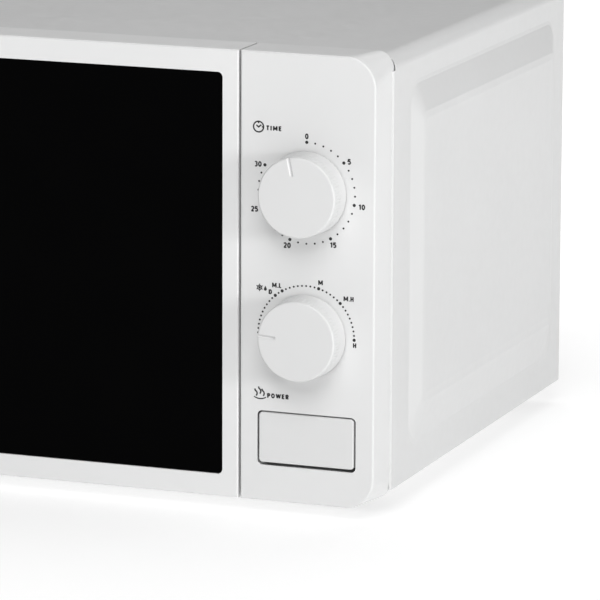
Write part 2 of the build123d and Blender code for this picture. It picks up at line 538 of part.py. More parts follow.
with BuildPart() as interlock_bracket:
    block((117, 119), (FLANGE_Y[1], Y0 + 70), (52, 206))
    block((119, 139), (FLANGE_Y[1], Y0 + 32), (52, 206))
    block((139, 141.5), (FLANGE_Y[1], Y0 + 41), (52, 70))
    for hook in HOOK_Z:
        slot = (hook + HOOK_SLOT[0], hook + HOOK_SLOT[1])
        block((124.5, 134), (FLANGE_Y[1] - 1, Y0 + 34), slot, Mode.SUBTRACT)
        ledge = (hook - 8, hook + LEDGE_TOP)
        block((119, LATCH_X[0] - 0.3), (Y0 + 38.5, HOOK_TIP - 5.5), ledge)
    for x in (116, 138):
        bar((x, LEVER_Y, LEVER_Z), RIGHT, 2.56, 5, Mode.SUBTRACT)
save(interlock_bracket.part, "interlock_bracket")

with BuildPart() as microswitches:
    for z, y in ((66, Y0 + 53), (176, Y0 + 53), (112, Y0 + 36)):
        block((119, 129.3), (y, y + 16), (z, z + 28))
        block((122, 126), (y - 1.2, y), (z + 17, z + 20))
        for tab in (4, 14, 24):
            block((123.8, 124.6), (y + 16, y + 22), (z + tab - 2.4, z + tab + 2.4))
save(microswitches.part, "microswitches")


def knob(z, rest):
    """A dial knob: a tapered cup with a ribbed skirt, a hub and a pointer groove."""
    hub_depth, ribs = 13.0, 80
    across = Plane(origin=(DIAL_X, Y0, z), x_dir=RIGHT, z_dir=(0, 0, -1))
    forward = (0, -1, 0)
    with BuildSketch(across) as half_section:
        with BuildLine():
            outside = [(0, KNOB_OUT), (22.4, KNOB_OUT), (23.3, 0.8), (21.3, 0.8), (20.4, KNOB_OUT - 2)]
            Polyline(*outside, (5.4, KNOB_OUT - 2), (5.4, 1.0), (0, 1.0), (0, KNOB_OUT))
        make_face()
    revolve(half_section.sketch, axis=Axis((DIAL_X, Y0, z), forward))
    fillet(faces().sort_by(Axis.Y)[0].edges(), 1.1)
    # Ribs cut between shallow grooves in the front half of the skirt
    with Locations(Plane(origin=(DIAL_X, Y0 - 8.5, z), x_dir=RIGHT, z_dir=forward)):
        with PolarLocations(23.3, ribs):
            Box(0.8, 0.9, 6.6, rotation=(0, -3.2, 45), align=LOW, mode=Mode.SUBTRACT)
    # Pointer, a V-shaped groove from the edge of the face
    with Locations(Plane(origin=(DIAL_X, Y0 - KNOB_OUT, z), x_dir=RIGHT, z_dir=forward)):
        with PolarLocations(17.4, 1, start_angle=90 + rest):
            Box(10.8, 1.5, 1.5, rotation=(45, 0, 0), mode=Mode.SUBTRACT)
    bar((DIAL_X, Y0 - hub_depth, z), BACK, 3.0, hub_depth, Mode.SUBTRACT)
    # Flat of the D-shaped bore
    block((DIAL_X + 2.2, DIAL_X + 3.4), (Y0 - hub_depth, Y0 - 1), (z - 2.4, z + 2.4))


def dial_shaft(z, length):
    """A D-shaped shaft from its switch into the knob's hub."""
    bar((DIAL_X, Y0 - 13, z), BACK, 3.0, length)
    block((DIAL_X + 2.2, DIAL_X + 4), (Y0 - 13, Y0 - 1), (z - 4, z + 4), Mode.SUBTRACT)


with BuildPart() as time_knob:
    knob(TIME_Z, TIME_REST)
save(time_knob.part, "time_knob")

with BuildPart() as power_knob:
    knob(POWER_Z, POWER_REST)
save(power_knob.part, "power_knob")

with BuildPart() as timer_shaft:
    dial_shaft(TIME_Z, 28)
save(timer_shaft.part, "timer_shaft")

with BuildPart() as selector_shaft:
    dial_shaft(POWER_Z, 28)
save(selector_shaft.part, "selector_shaft")


def switch_body(z, size, depth, tabs):
    """A dial's switch: its mounting plate, box and spade terminals, with the shaft's bearing."""
    block(grow((DIAL_X, DIAL_X), 28), (Y0 + 10.5, Y0 + 11.7), grow((z, z), 28))
    block(grow((DIAL_X, DIAL_X), size), (Y0 + 11.7, Y0 + depth), grow((z, z), size))
    bar((DIAL_X, Y0 + 6, z), BACK, 5, 5)
    bar((DIAL_X, Y0 + 5, z), BACK, 3.06, 11, Mode.SUBTRACT)
    for tab in range(tabs):
        x = DIAL_X - size + 5 + 9 * tab
        block((x, x + 6.3), (Y0 + depth, Y0 + depth + 8), (z - size + 4, z - size + 4.8))


with BuildPart() as timer_unit:
    switch_body(TIME_Z, 23, 38, 3)
save(timer_unit.part, "timer_unit")

with BuildPart() as power_selector:
    switch_body(POWER_Z, 20, 30, 3)
save(power_selector.part, "power_selector")

with BuildPart() as timer_bell:
    bar((DIAL_X, Y0 + 38, TIME_Z + 4), BACK, 2, 4)
    bar((DIAL_X, Y0 + 42, TIME_Z + 4), BACK, 15, 7)
    fillet(faces().sort_by(Axis.Y)[-1].edges(), 5)
    bar((DIAL_X, Y0 + 41, TIME_Z + 4), BACK, 14, 1.8, Mode.SUBTRACT)
    bar((DIAL_X, Y0 + 40, TIME_Z + 4), BACK, 2, 4)
save(timer_bell.part, "timer_bell")

# ---- microwave source and power supply ----

YOKE_X, MAGNET_L = (GUIDE_X[1] + 1.6, GUIDE_X[1] + 47.0), 10.0
FIN_X = (YOKE_X[0] + 1.4 + MAGNET_L, YOKE_X[1] - 1.4 - MAGNET_L)
with BuildPart() as magnetron_yoke:
    block((GUIDE_X[1], YOKE_X[0]), grow((MAG_Y, MAG_Y), 44), grow((MAG_Z, MAG_Z), 36))
    block(YOKE_X, grow((MAG_Y, MAG_Y), 40), grow((MAG_Z, MAG_Z), 31))
    block(grow(YOKE_X, -1.4), grow((MAG_Y, MAG_Y), 41), grow((MAG_Z, MAG_Z), 29.6), Mode.SUBTRACT)
    bar((GUIDE_X[1] - 1, MAG_Y, MAG_Z), RIGHT, 12, 60, Mode.SUBTRACT)
save(magnetron_yoke.part, "magnetron_yoke")

with BuildPart() as magnetron_magnets:
    for x in (YOKE_X[0] + 1.4, FIN_X[1]):
        bar((x, MAG_Y, MAG_Z), RIGHT, 27, MAGNET_L)
        bar((x, MAG_Y, MAG_Z), RIGHT, 10, MAGNET_L, Mode.SUBTRACT)
save(magnetron_magnets.part, "magnetron_magnets")

with BuildPart() as magnetron_tube:
    # Anode with its cooling fins, and the antenna that reaches into the waveguide
    bar((GUIDE_X[1] - 16, MAG_Y, MAG_Z), RIGHT, 7, FIN_X[0] - GUIDE_X[1] + 17)
    fillet(faces().sort_by(Axis.X)[0].edges(), 3)
    bar((GUIDE_X[1] - 2, MAG_Y, MAG_Z), RIGHT, 9, 8)
    bar((FIN_X[0], MAG_Y, MAG_Z), RIGHT, 19, FIN_X[1] - FIN_X[0])
    for number in range(5):
        x = FIN_X[0] + 2.4 + number * (FIN_X[1] - FIN_X[0] - 5.4) / 4
        block((x, x + 0.6), grow((MAG_Y, MAG_Y), 38), grow((MAG_Z, MAG_Z), 29.4))
save(magnetron_tube.part, "magnetron_tube")

with BuildPart() as magnetron_filter_box:
    filter_x = (YOKE_X[1], YOKE_X[1] + 26)
    block(filter_x, grow((MAG_Y, MAG_Y), 31), grow((MAG_Z, MAG_Z), 24))
    inside_x = (filter_x[0] - 1, filter_x[1] - 0.7)
    block(inside_x, grow((MAG_Y, MAG_Y), 30.3), grow((MAG_Z, MAG_Z), 23.3), Mode.SUBTRACT)
    for y in (MAG_Y - 8, MAG_Y + 8):
        block((filter_x[0] + 8, filter_x[0] + 14), (y - 0.4, y + 0.4), (MAG_Z - 33, MAG_Z - 23.5))
save(magnetron_filter_box.part, "magnetron_filter_box")

with BuildPart() as thermal_cutouts:
    # One on the magnetron's yoke, one on the cavity's side
    bar((YOKE_X[0] + 22, MAG_Y - 20, MAG_Z + 31), UP, 8, 7)
    block((YOKE_X[0] + 18, YOKE_X[0] + 26), (MAG_Y - 23, MAG_Y - 22.2), (MAG_Z + 38, MAG_Z + 45))
    bar((GUIDE_X[0], -30, 130), RIGHT, 8, 8)
    block((GUIDE_X[0] + 8, GUIDE_X[0] + 15), (-33, -32.2), (127, 133))
save(thermal_cutouts.part, "thermal_cutouts")

CORE_X, CORE_Y, CORE_Z = (140.0, 190.0), (-66.0, 20.0), (BASE_Z[1] + 1.5, BASE_Z[1] + 73.5)
LIMB = 14.5
with BuildPart() as transformer_core:
    block((132, 198), grow(CORE_Y, 8), (BASE_Z[1], CORE_Z[0]))
    block(CORE_X, CORE_Y, CORE_Z)
    middle = sum(CORE_Y) / 2
    for window in ((CORE_Y[0] + LIMB, middle - LIMB), (middle + LIMB, CORE_Y[1] - LIMB)):
        block(grow(CORE_X, 1), window, grow(CORE_Z, -LIMB), Mode.SUBTRACT)
save(transformer_core.part, "transformer_core")

with BuildPart() as transformer_windings:
    for low, high in ((CORE_Z[0] + LIMB + 0.5, CORE_Z[0] + 34), (CORE_Z[0] + 36.5, CORE_Z[1] - LIMB - 0.5)):
        with BuildSketch(Plane.XY.offset(low)):
            with Locations((sum(CORE_X) / 2, middle)):
                RectangleRounded(74, 2 * LIMB + 27, 10)
                Rectangle(50.4, 2 * LIMB + 0.4, mode=Mode.SUBTRACT)
        extrude(amount=high - low)
save(transformer_windings.part, "transformer_windings")

with BuildPart() as hv_capacitor:
    with BuildSketch(facing(CAP_Y)):
        with Locations((CAP_X, CAP_Z)):
            SlotOverall(52, 32)
    extrude(amount=-84)
    fillet(faces().sort_by(Axis.Y)[0].edges(), 1.2)
    for x in (CAP_X - 10, CAP_X + 10):
        bar((x, CAP_Y - 4, CAP_Z), BACK, 4.5, 4)
        block((x - 3.1, x + 3.1), (CAP_Y - 12, CAP_Y - 4), (CAP_Z - 0.4, CAP_Z + 0.4))
save(hv_capacitor.part, "hv_capacitor")

with BuildPart() as capacitor_clamp:
    with BuildSketch(facing(CAP_Y + 36)):
        with Locations((CAP_X, CAP_Z)):
            SlotOverall(54.4, 34.4)
        rectangle((CAP_X - 27.2, CAP_X + 27.2), (BASE_Z[1], CAP_Z))
        rectangle((CAP_X - 36, CAP_X + 36), (BASE_Z[1], BASE_Z[1] + 1.2))
        with Locations((CAP_X, CAP_Z)):
            SlotOverall(52, 32, mode=Mode.SUBTRACT)
    extrude(amount=-14)
    block((CAP_X - 26, CAP_X + 26), (CAP_Y + 35, CAP_Y + 51), (BASE_Z[1] - 1, CAP_Z), Mode.SUBTRACT)
save(capacitor_clamp.part, "capacitor_clamp")

with BuildPart() as hv_diode:
    bar((CAP_X - 10, CAP_Y - 32, CAP_Z), BACK, 3.4, 17)
    bar((CAP_X - 10, CAP_Y - 15, CAP_Z), BACK, 0.6, 3)
    bar((CAP_X - 10, CAP_Y - 36, CAP_Z), BACK, 0.6, 4)
save(hv_diode.part, "hv_diode")

# ---- cooling, lamp and mains filter ----

SHROUD_X, SHROUD_Z, SHROUD_Y = (114.5, 214.0), (122.0, 234.0), (146.0, REAR_Y[0])
with BuildPart() as fan_shroud:
    block(SHROUD_X, SHROUD_Y, SHROUD_Z)
    block(grow(SHROUD_X, -1.8), (SHROUD_Y[0] + 2, SHROUD_Y[1] + 1), grow(SHROUD_Z, -1.8), Mode.SUBTRACT)
    bar((FAN_X, SHROUD_Y[0] - 1, FAN_Z), BACK, FAN_R, 5, Mode.SUBTRACT)
    for x in (FAN_X - 22, FAN_X + 22):
        block(grow((x, x), 3), (SHROUD_Y[0], SHROUD_Y[0] + 2), grow((FAN_Z, FAN_Z), 48))
        for z in (FAN_Z - 25, FAN_Z + 25):
            bar((x, SHROUD_Y[0] - 12, z), BACK, 2.4, 12)
save(fan_shroud.part, "fan_shroud")

with BuildPart() as fan_motor:
    block(grow((FAN_X, FAN_X), 26), (118, 134), (FAN_Z - 34, FAN_Z + 29))
    block(grow((FAN_X, FAN_X), 15), (117, 135), (FAN_Z - 27, FAN_Z - 17), Mode.SUBTRACT)
    block(grow((FAN_X, FAN_X), 14), (113, 139), (FAN_Z - 27, FAN_Z - 17))
    for y in (112.5, 134):
        block(grow((FAN_X, FAN_X), 8), (y, y + 5.5), grow((FAN_Z, FAN_Z), 14))
    bar((FAN_X, 110, FAN_Z), BACK, 2.06, 34, Mode.SUBTRACT)
save(fan_motor.part, "fan_motor")

with BuildPart() as fan_shaft:
    bar((FAN_X, 111, FAN_Z), BACK, 2.0, 52)
save(fan_shaft.part, "fan_shaft")

with BuildPart() as fan_blade:
    bar((FAN_X, 148, FAN_Z), BACK, 11, 15)
    fillet(faces().sort_by(Axis.Y)[-1].edges(), 2)
    with Locations(Plane(origin=(FAN_X, 156, FAN_Z), x_dir=RIGHT, z_dir=BACK)):
        with PolarLocations(27, 7):
            Box(35, 26, 1.5, rotation=(27, 0, 0))
    bar((FAN_X, 140, FAN_Z), BACK, 2.0, 23, Mode.SUBTRACT)
save(fan_blade.part, "fan_blade")

with BuildPart() as lamp_holder:
    block((GUIDE_X[0], GUIDE_X[0] + 32), grow((LAMP_Y, LAMP_Y), 18), (182, 220))
    hollow = (GUIDE_X[0] - 1, GUIDE_X[0] + 30.4)
    block(hollow, grow((LAMP_Y, LAMP_Y), 16.4), (183.6, 218.4), Mode.SUBTRACT)
save(lamp_holder.part, "lamp_holder")

with BuildPart() as oven_lamp:
    lamp = (GUIDE_X[0] + 15, LAMP_Y)
    bar((*lamp, 208), UP, 7, 10.4)
    bar((*lamp, 190), UP, 9, 18)
    fillet(faces().sort_by(Axis.Z)[0].edges(), 7)
save(oven_lamp.part, "oven_lamp")

with BuildPart() as noise_filter_board:
    board_z = SHROUD_Z[1] + 4
    block((122, 206), (126, 168), (board_z, board_z + 1.6))
    for x in (128, 200):
        bar((x, 158, SHROUD_Z[1]), UP, 3, 4)
    block((128, 146), (130, 152), (board_z + 1.6, board_z + 13))
    with Locations((168, 142, board_z + 6.6)):
        Torus(10, 5)
    bar((190, 130, board_z + 5), BACK, 3.4, 26)
    block((186, 194), (132, 154), (board_z + 1.6, board_z + 3))
save(noise_filter_board.part, "noise_filter_board")
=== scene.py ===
"""The looks of a countertop microwave oven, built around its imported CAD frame. Metres."""

import json
import math

import bmesh
import bpy
from mathutils import Matrix, Vector


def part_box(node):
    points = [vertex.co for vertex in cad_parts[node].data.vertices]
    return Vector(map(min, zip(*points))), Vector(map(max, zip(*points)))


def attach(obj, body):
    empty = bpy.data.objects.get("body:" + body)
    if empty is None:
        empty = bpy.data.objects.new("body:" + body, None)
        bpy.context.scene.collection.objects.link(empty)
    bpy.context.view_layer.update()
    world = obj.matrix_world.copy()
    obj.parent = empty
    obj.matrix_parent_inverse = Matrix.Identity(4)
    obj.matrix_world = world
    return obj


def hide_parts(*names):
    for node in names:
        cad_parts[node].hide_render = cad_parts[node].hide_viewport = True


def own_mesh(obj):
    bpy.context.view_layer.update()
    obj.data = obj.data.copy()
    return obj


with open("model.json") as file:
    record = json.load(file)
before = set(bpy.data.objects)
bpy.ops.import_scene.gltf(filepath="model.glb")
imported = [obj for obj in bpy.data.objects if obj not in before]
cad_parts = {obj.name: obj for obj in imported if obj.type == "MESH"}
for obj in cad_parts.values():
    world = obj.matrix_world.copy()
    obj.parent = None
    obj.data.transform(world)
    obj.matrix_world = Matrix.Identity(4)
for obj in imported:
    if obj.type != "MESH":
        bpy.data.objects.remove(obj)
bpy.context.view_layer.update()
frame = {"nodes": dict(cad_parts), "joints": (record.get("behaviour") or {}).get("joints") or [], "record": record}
JOINTS = {joint["name"]: joint for joint in frame["joints"]}
MM = 0.001

PANEL_LOW, PANEL_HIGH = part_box("control_panel")
FRONT = PANEL_LOW.y
TIME_AT = Vector(JOINTS["time_turn"]["pos_m"])
POWER_AT = Vector(JOINTS["power_turn"]["pos_m"])

# ---- node materials ----


def material(name, color, roughness, **sockets):
    """A Principled material with its constants on the shader's own sockets."""
    made = bpy.data.materials.new(name)
    made.use_nodes = True
    shader = made.node_tree.nodes["Principled BSDF"]
    shader.inputs["Base Color"].default_value = (*color, 1)
    shader.inputs["Roughness"].default_value = roughness
    for socket, value in sockets.items():
        shader.inputs[socket.replace("_", " ")].default_value = value
    return made


def node(made, kind, inputs=(), **settings):
    """A new node in a material, with its settings, and its inputs set or linked."""
    new = made.node_tree.nodes.new(kind)
    for key, value in settings.items():
        setattr(new, key, value)
    for socket, value in dict(inputs).items():
        if isinstance(value, bpy.types.NodeSocket):
            made.node_tree.links.new(value, new.inputs[socket])
        else:
            new.inputs[socket].default_value = value
    return new


def link(made, output, socket):
    shader = made.node_tree.nodes["Principled BSDF"]
    made.node_tree.links.new(output, shader.inputs[socket])


def place(made, stretch=(1, 1, 1)):
    """Object coordinates in metres, stretched per axis."""
    coordinates = node(made, "ShaderNodeTexCoord")
    mapping = node(made, "ShaderNodeMapping", {"Vector": coordinates.outputs["Object"], "Scale": stretch})
    return mapping.outputs["Vector"]


def noise(made, size, detail=3.0, stretch=(1, 1, 1), rough=0.5):
    """Noise whose features are about size metres across."""
    inputs = {"Vector": place(made, stretch), "Scale": 1 / size, "Detail": detail, "Roughness": rough}
    return node(made, "ShaderNodeTexNoise", inputs).outputs["Fac"]


def spread(made, value, low, high, start=0.3, end=0.7):
    """A value mapped from its usual range to another."""
    inputs = {"Value": value, "From Min": start, "From Max": end, "To Min": low, "To Max": high}
    return node(made, "ShaderNodeMapRange", inputs).outputs["Result"]


def tint(made, value, first, second):
    """Base colour between two colours by a value."""
    mix = node(made, "ShaderNodeMix", {"Factor": value}, data_type="RGBA")
    mix.inputs["A"].default_value = (*first, 1)
    mix.inputs["B"].default_value = (*second, 1)
    link(made, mix.outputs["Result"], "Base Color")


def bump(made, height, depth, strength=1.0):
    """Surface relief, depth metres high where the height is 1."""
    inputs = {"Height": height, "Distance": depth, "Strength": strength}
    link(made, node(made, "ShaderNodeBump", inputs).outputs["Normal"], "Normal")


def shade(color, by):
    return tuple(max(0.0, min(1.0, c * by)) for c in color)


def moulded(name, color, roughness, texture=0.35 * MM, relief=0.006 * MM, **sockets):
    """Injection-moulded plastic: faint cloudiness, uneven sheen and a fine skin."""
    made = material(name, color, roughness, **sockets)
    tint(made, spread(made, noise(made, 60 * MM), 0, 1), shade(color, 0.985), shade(color, 1.01))
    link(made, spread(made, noise(made, 9 * MM), roughness - 0.03, roughness + 0.04), "Roughness")
    bump(made, noise(made, texture, 2.0), relief)
    return made


def coated_steel():
    """White powder coat: a slight orange peel on sheet steel."""
    color = (0.652, 0.654, 0.654)
    made = material("white_powder_coat", color, 0.38)
    tint(made, spread(made, noise(made, 80 * MM), 0, 1), shade(color, 0.985), shade(color, 1.01))
    link(made, spread(made, noise(made, 5 * MM), 0.34, 0.44), "Roughness")
    bump(made, noise(made, 1.3 * MM, 2.0), 0.012 * MM)
    return made


def speckled_enamel():
    """Light grey baked enamel with small dark and pale specks."""
    color = (0.62, 0.63, 0.63)
    made = material("cavity_enamel", color, 0.3, Coat_Weight=0.4, Coat_Roughness=0.15)
    cells = node(made, "ShaderNodeTexVoronoi", {"Vector": place(made), "Scale": 1 / (2.4 * MM)})
    specks = spread(made, cells.outputs["Distance"], 1, 0, 0.12, 0.2)
    cloud = spread(made, noise(made, 3.1 * MM, 1.0), 0, 1, 0.52, 0.56)
    chosen = node(made, "ShaderNodeMath", {0: specks, 1: cloud}, operation="MULTIPLY").outputs["Value"]
    tint(made, chosen, color, (0.22, 0.23, 0.24))
    bump(made, noise(made, 4 * MM, 2.0), 0.02 * MM)
    return made


def metal(name, color, roughness, grain=(1, 1, 1), streak=0.5 * MM, **sockets):
    """Bare metal with fine streaks or spangle."""
    made = material(name, color, roughness, Metallic=1.0, **sockets)
    tint(made, spread(made, noise(made, 7 * MM), 0, 1), shade(color, 0.88), shade(color, 1.06))
    fine = noise(made, streak, 3.0, grain)
    link(made, spread(made, fine, roughness - 0.07, roughness + 0.1), "Roughness")
    bump(made, fine, 0.006 * MM)
    return made


def black_glass():
    """Gloss black pane: print behind the glass, with a faint waviness in the surface."""
    made = material("black_glass", (0.0007, 0.0007, 0.0008), 0.045, Specular_IOR_Level=0.015)
    tint(made, spread(made, noise(made, 40 * MM), 0, 1), (0.0006, 0.0006, 0.0007), (0.0008, 0.0008, 0.0009))
    link(made, spread(made, noise(made, 20 * MM), 0.04, 0.06), "Roughness")
    bump(made, noise(made, 90 * MM, 1.0), 0.01 * MM)
    return made


def clear(name, color, roughness, ior=1.5, **sockets):
    """Clear glass or film, with faint smears in its gloss."""
    made = material(name, color, roughness, Transmission_Weight=1.0, IOR=ior, **sockets)
    link(made, spread(made, noise(made, 15 * MM), roughness, roughness + 0.05), "Roughness")
    tint(made, spread(made, noise(made, 50 * MM), 0, 1), shade(color, 0.98), color)
    return made


def windings():
    """Enamelled copper wire, laid in even turns up the coil, about 1 mm apart, with painted shade in the grooves
    between turns and a painted highlight on their crests.
    """
    waves_per_metre = 314
    made = material("copper_winding", (0.45, 0.16, 0.06), 0.32, Metallic=0.8, Coat_Weight=0.6)
    inputs = {"Vector": place(made), "Scale": waves_per_metre, "Distortion": 0.2}
    turns = node(made, "ShaderNodeTexWave", inputs, bands_direction="Z")
    # painted shade and highlight: the same bands that raise the turns also darken the grooves and lighten the
    # crests
    tint(made, turns.outputs["Fac"], (0.20, 0.06, 0.02), (0.52, 0.20, 0.08))
    bump(made, turns.outputs["Fac"], 0.3 * MM)
    return made


def mica():
    """Mottled brown sheet with flakes."""
    made = material("mica", (0.5, 0.42, 0.32), 0.5)
    flakes = node(made, "ShaderNodeTexVoronoi", {"Vector": place(made), "Scale": 1 / (5 * MM)})
    tint(made, flakes.outputs["Distance"], (0.62, 0.54, 0.42), (0.36, 0.29, 0.21))
    bump(made, flakes.outputs["Distance"], 0.05 * MM)
    return made


WHITE = (0.720, 0.722, 0.722)
MATERIALS = {
    "white_enamel": coated_steel(),
    "cavity_enamel": speckled_enamel(),
    "white_plastic": moulded("white_plastic", WHITE, 0.36),
    "black_glass": black_glass(),
    "clear_film": clear("clear_film", (0.93, 0.94, 0.94), 0.12, 1.3),
    "tray_glass": clear("tray_glass", (0.93, 0.97, 0.96), 0.02),
    "grey_plastic": moulded("dark_plastic", (0.035, 0.036, 0.038), 0.45),
    "latch_plastic": moulded("natural_acetal", (0.70, 0.70, 0.66), 0.35, Subsurface_Weight=0.05),
    "zinc_steel": metal("zinc_plated_steel", (0.62, 0.62, 0.60), 0.34),
    "aluminium": metal("bare_aluminium", (0.76, 0.76, 0.77), 0.3, (1, 1, 6)),
    "ferrite": moulded("ferrite", (0.05, 0.05, 0.052), 0.6, 0.2 * MM, 0.02 * MM),
    "copper_winding": windings(),
    "switch_plastic": moulded("cream_plastic", (0.62, 0.56, 0.43), 0.42),
    "mica": mica(),
    "lamp_glass": clear("lamp_glass", (0.97, 0.97, 0.95), 0.05),
}
# Copies of the white plastic with painted light and shade: lighter on the door frame, darker on the knobs and the
# release button, for how light falls on them
PAINTED_LIGHT_AND_SHADE_WHITES = {
    "door_frame": moulded("white_plastic_door_painted_light", shade(WHITE, 1.045), 0.36),
    "time_knob": moulded("white_plastic_knobs_painted_shade", shade(WHITE, 0.955), 0.40),
}
PAINTED_LIGHT_AND_SHADE_WHITES["power_knob"] = PAINTED_LIGHT_AND_SHADE_WHITES["release_button"] = PAINTED_LIGHT_AND_SHADE_WHITES["time_knob"]
INK = moulded("printed_ink", (0.012, 0.012, 0.013), 0.5, 0.2 * MM, 0.002 * MM)

for subpart in frame["record"]["subparts"]:
    shown = frame["nodes"][subpart["node"]].data
    shown.materials.clear()
    shown.materials.append(PAINTED_LIGHT_AND_SHADE_WHITES.get(subpart["node"], MATERIALS[subpart["material_slot"]]))

# ---- moulded edges ----


def soften(name, width):
    """Rounds a CAD node's sharp edges slightly, as a moulding's edges are."""
    shown = frame["nodes"][name]
    shown.modifiers.new("weld", "WELD").merge_threshold = 0.001 * MM
    edges = shown.modifiers.new("edges", "BEVEL")
    edges.width, edges.segments = width, 2
    edges.limit_method, edges.angle_limit = "ANGLE", math.radians(35)
    edges.use_clamp_overlap = True
    shown.modifiers.new("normals", "WEIGHTED_NORMAL").keep_sharp = True


EDGES = {"control_panel": 0.25 * MM, "door_frame": 0.25 * MM, "release_button": 0.4 * MM}
for name, width in EDGES.items():
    soften(name, width)

# ---- camera, light and floor ----


def look():
    """The camera: a long lens from the right of the door and a little above."""
    azimuth, elevation, roll = 0.36091, 0.20403, -0.0038385  # radians
    distance = 2.74596
    left_of_dial, below_dial = 3.6 * MM, 59.9 * MM
    aim = Vector((TIME_AT.x - left_of_dial, FRONT, TIME_AT.z - below_dial))
    level = math.cos(elevation)
    back = Vector((math.sin(azimuth) * level, -math.cos(azimuth) * level, math.sin(elevation)))
    right = Vector((math.cos(azimuth), math.sin(azimuth), 0))
    up = back.cross(right)
    turn = Matrix((right, up, back)).transposed() @ Matrix.Rotation(-roll, 3, "Z")
    lens = bpy.data.cameras.new("camera")
    lens.lens, lens.sensor_width = 300, 36
    camera = bpy.data.objects.new("camera", lens)
    camera.matrix_world = Matrix.Translation(aim + back * distance) @ turn.to_4x4()
    bpy.context.scene.collection.objects.link(camera)
    bpy.context.scene.camera = camera


def area_light(name, at, aim, size, power):
    """A square soft light of a given size in metres and power in watts, pointing at a place."""
    data = bpy.data.lights.new(name, "AREA")
    data.size, data.energy = size, power
    lamp = bpy.data.objects.new(name, data)
    lamp.location = at
    lamp.rotation_euler = (Vector(aim) - Vector(at)).to_track_quat("-Z", "Y").to_euler()
    bpy.context.scene.collection.objects.link(lamp)


def stage():
    """A pale glowing table as the floor; soft lights from the right, from in front and from overhead."""
    surround = 0.10  # world light
    world = bpy.data.worlds.new("studio")
    world.use_nodes = True
    world.node_tree.nodes["Background"].inputs["Color"].default_value = (1, 1, 1, 1)
    world.node_tree.nodes["Background"].inputs["Strength"].default_value = surround
    bpy.context.scene.world = world
    bpy.context.scene.view_settings.view_transform = "Standard"
    sheet = bpy.data.meshes.new("floor")
    half = 6.0
    corners = [(-half, -half, 0), (half, -half, 0), (half, half, 0), (-half, half, 0)]
    sheet.from_pydata(corners, [], [(0, 1, 2, 3)])
    floor = bpy.data.objects.new("floor", sheet)
    table = material("floor", (0.45, 0.45, 0.45), 0.9, Emission_Color=(1, 1, 1, 1))
    depth = node(table, "ShaderNodeSeparateXYZ", {"Vector": place(table)}).outputs["Y"]
    near, far = 0.25, 0.9  # between these distances behind the middle the table's glow rises
    link(table, spread(table, depth, 0.63, 1.0, near, far), "Emission Strength")
    sheet.materials.append(table)
    bpy.context.scene.collection.objects.link(floor)
    aim = (0.178, FRONT, 0.143)
    area_light("key", (2.51, -0.98, 0.47), aim, 0.5, 27)
    area_light("fill", (0.6, -1.7, 1.7), aim, 1.4, 33)
    area_light("overhead", (-0.1, 0.75, 1.6), (0, 0.2, 0.25), 1.2, 11)


look()
stage()

# ---- pieces made here ----


def piece(name, bm, body, finish, smooth=False):
    """A shape as a finished piece of the object, riding on a body."""
    bmesh.ops.recalc_face_normals(bm, faces=bm.faces)
    mesh = bpy.data.meshes.new(name)
    bm.to_mesh(mesh)
    bm.free()
    if smooth:
        mesh.shade_smooth()
    mesh.materials.append(finish)
    made = bpy.data.objects.new(name, mesh)
    bpy.context.scene.collection.objects.link(made)
    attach(made, body)
    return made


PRINT = 0.05 * MM  # how far the ink stands off the panel
MITRE = 1.5  # a line's width at a sharp corner grows no further than this


def prism(bm, outline):
    """A flat closed outline in the panel's plane made into a thin solid standing off it."""
    front = [bm.verts.new((x, FRONT - PRINT, z)) for x, z in outline]
    back = [bm.verts.new((x, FRONT + PRINT, z)) for x, z in outline]
    bm.faces.new(front)
    bm.faces.new(list(reversed(back)))
    count = len(outline)
    for i in range(count):
        j = (i + 1) % count
        bm.faces.new((front[i], back[i], back[j], front[j]))


def dot(bm, x, z, radius, sides=20):
    turns = [2 * math.pi * i / sides for i in range(sides)]
    prism(bm, [(x + radius * math.cos(a), z + radius * math.sin(a)) for a in turns])


def band(bm, points, width, closed=False):
    """A line of even width along points, mitred at its corners, as a thin solid on the panel."""
    rows, count = [], len(points)
    for i in range(count):
        here = Vector(points[i])
        before = Vector(points[i - 1]) if closed or i else here
        after = Vector(points[(i + 1) % count]) if closed or i < count - 1 else here
        along = (after - before).normalized()
        turn = (here - before).angle(after - here) if before != here != after else 0.0
        across = Vector((-along.y, along.x)) * (width / 2) * min(MITRE, 1 / max(0.1, math.cos(turn / 2)))
        corners = ((across, -PRINT), (-across, -PRINT), (-across, PRINT), (across, PRINT))
        rows.append([bm.verts.new(((here + side).x, FRONT + y, (here + side).y)) for side, y in corners])
    for a, b in zip(rows, rows[1:] + rows[:1] if closed else rows[1:]):
        for k in range(4):
            j = (k + 1) % 4
            bm.faces.new((a[k], b[k], b[j], a[j]))
    if not closed:
        bm.faces.new(rows[0])
        bm.faces.new(rows[-1][::-1])


def arc(centre, wide, high, start=0.0, end=360.0, steps=12):
    """Points along an ellipse, anticlockwise from its right end."""
    angles = [math.radians(start + (end - start) * i / steps) for i in range(steps + 1)]
    return [(centre[0] + wide * math.cos(a), centre[1] + high * math.sin(a)) for a in angles]


# The stem and round of P and R, drawn as one line
STEM = [(0.10, 0), (0.10, 0.92), (0.28, 0.92)] + arc((0.30, 0.68), 0.22, 0.24, 85, -85, 8) + [(0.10, 0.44)]
